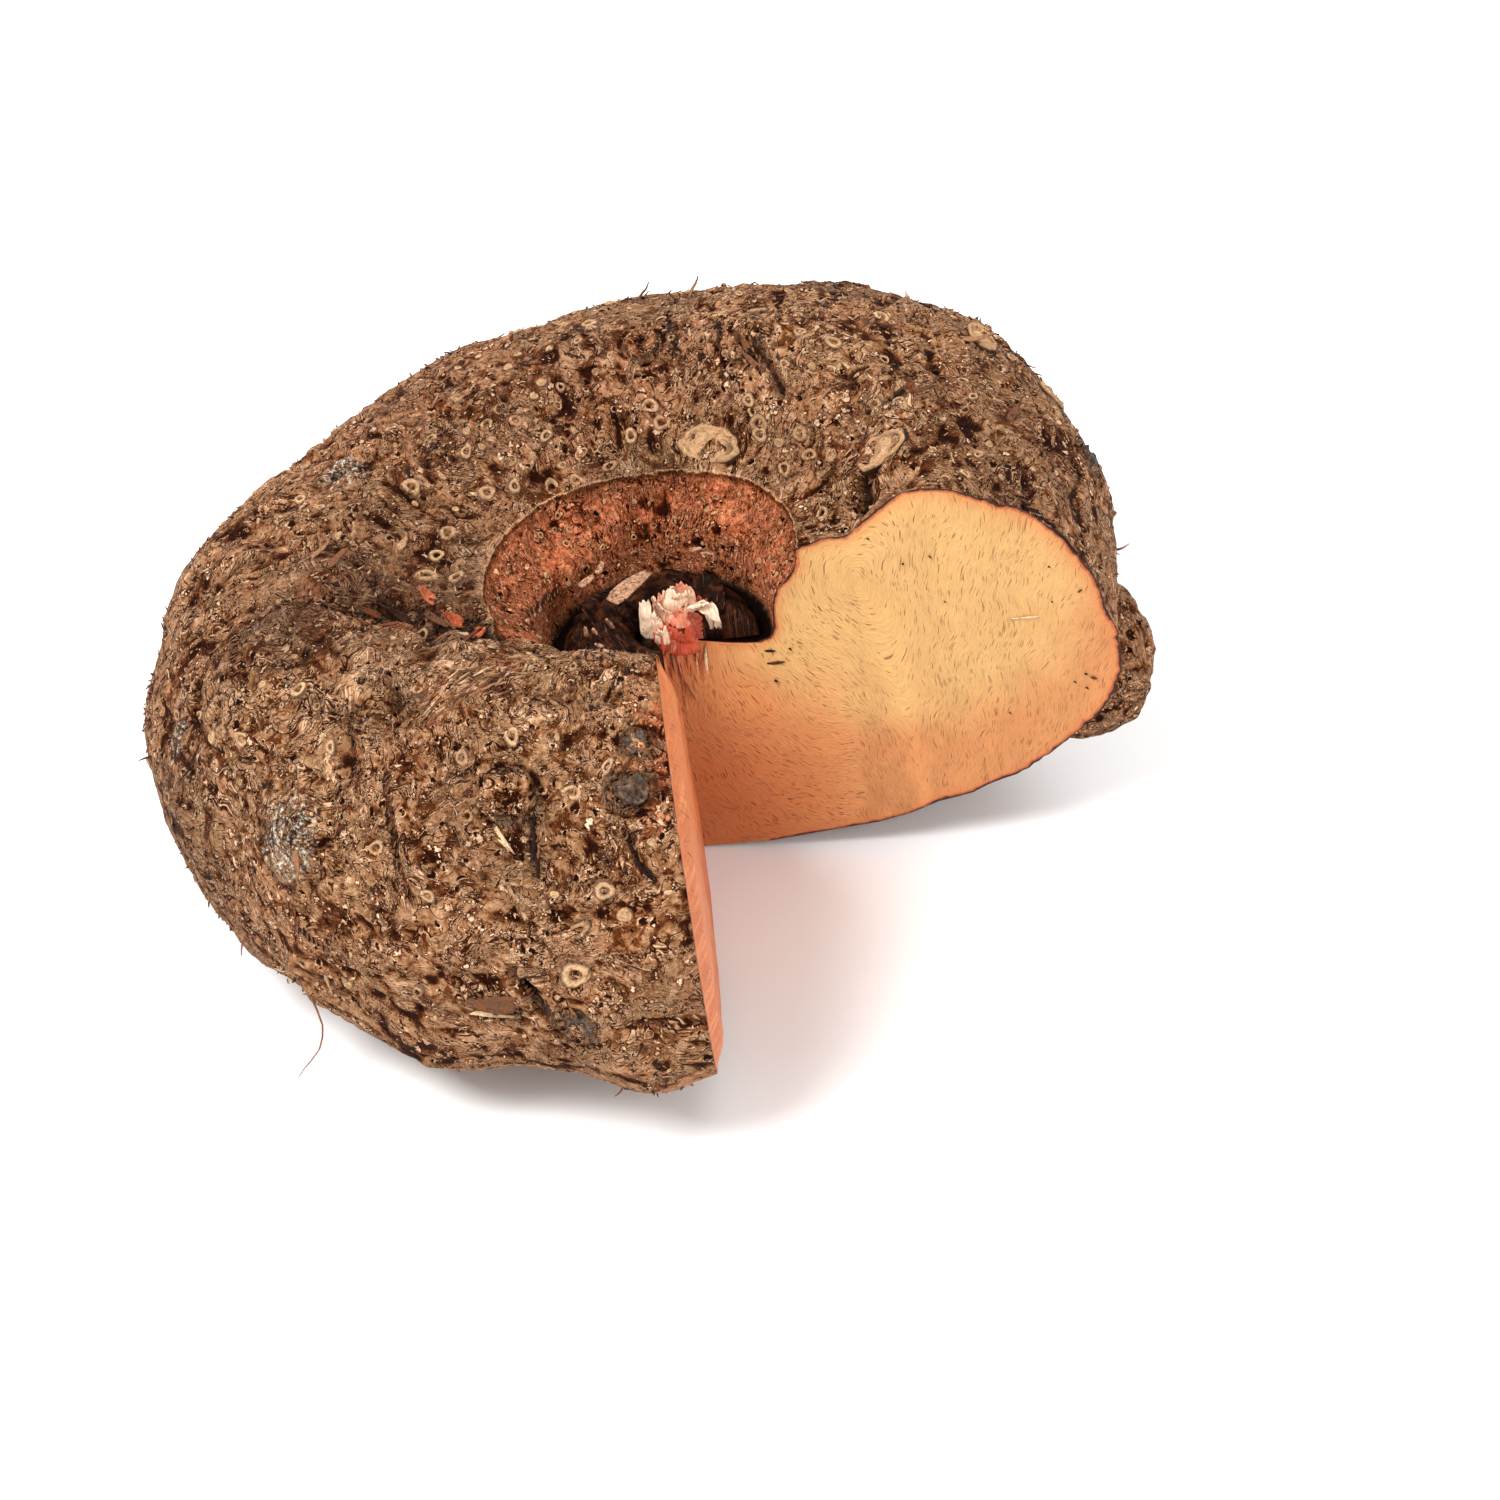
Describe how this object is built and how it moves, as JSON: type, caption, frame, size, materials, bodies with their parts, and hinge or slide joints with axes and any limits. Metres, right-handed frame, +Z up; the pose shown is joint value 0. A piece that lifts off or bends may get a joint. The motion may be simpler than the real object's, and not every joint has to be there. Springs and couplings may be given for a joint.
{
  "type": "elephant-foot yam",
  "caption": "Broad, ring-shaped yam tuber with a deep crater in its crown, rough knobbly skin and a wedge cut out to its axis.",
  "frame": {"origin": "middle of the outer box, on the surface that the yam rests on", "axes": "+Z up; the crater opens upwards; the wedge is cut out between +X and -Y, so that both cut faces meet on a line near the origin"},
  "size_m": [0.259, 0.2444, 0.1289],
  "materials": {
    "corm_skin": "rough corky brown skin, with moist orange flesh on the two cut faces",
    "scale_paper": "dark, thin and leathery",
    "bud_pink": "moist and pink"
  },
  "bodies": {
    "root": {"corm": "corm_skin", "sheath_scales": "scale_paper", "shoot_bud": "bud_pink"}
  },
  "joints": []
}
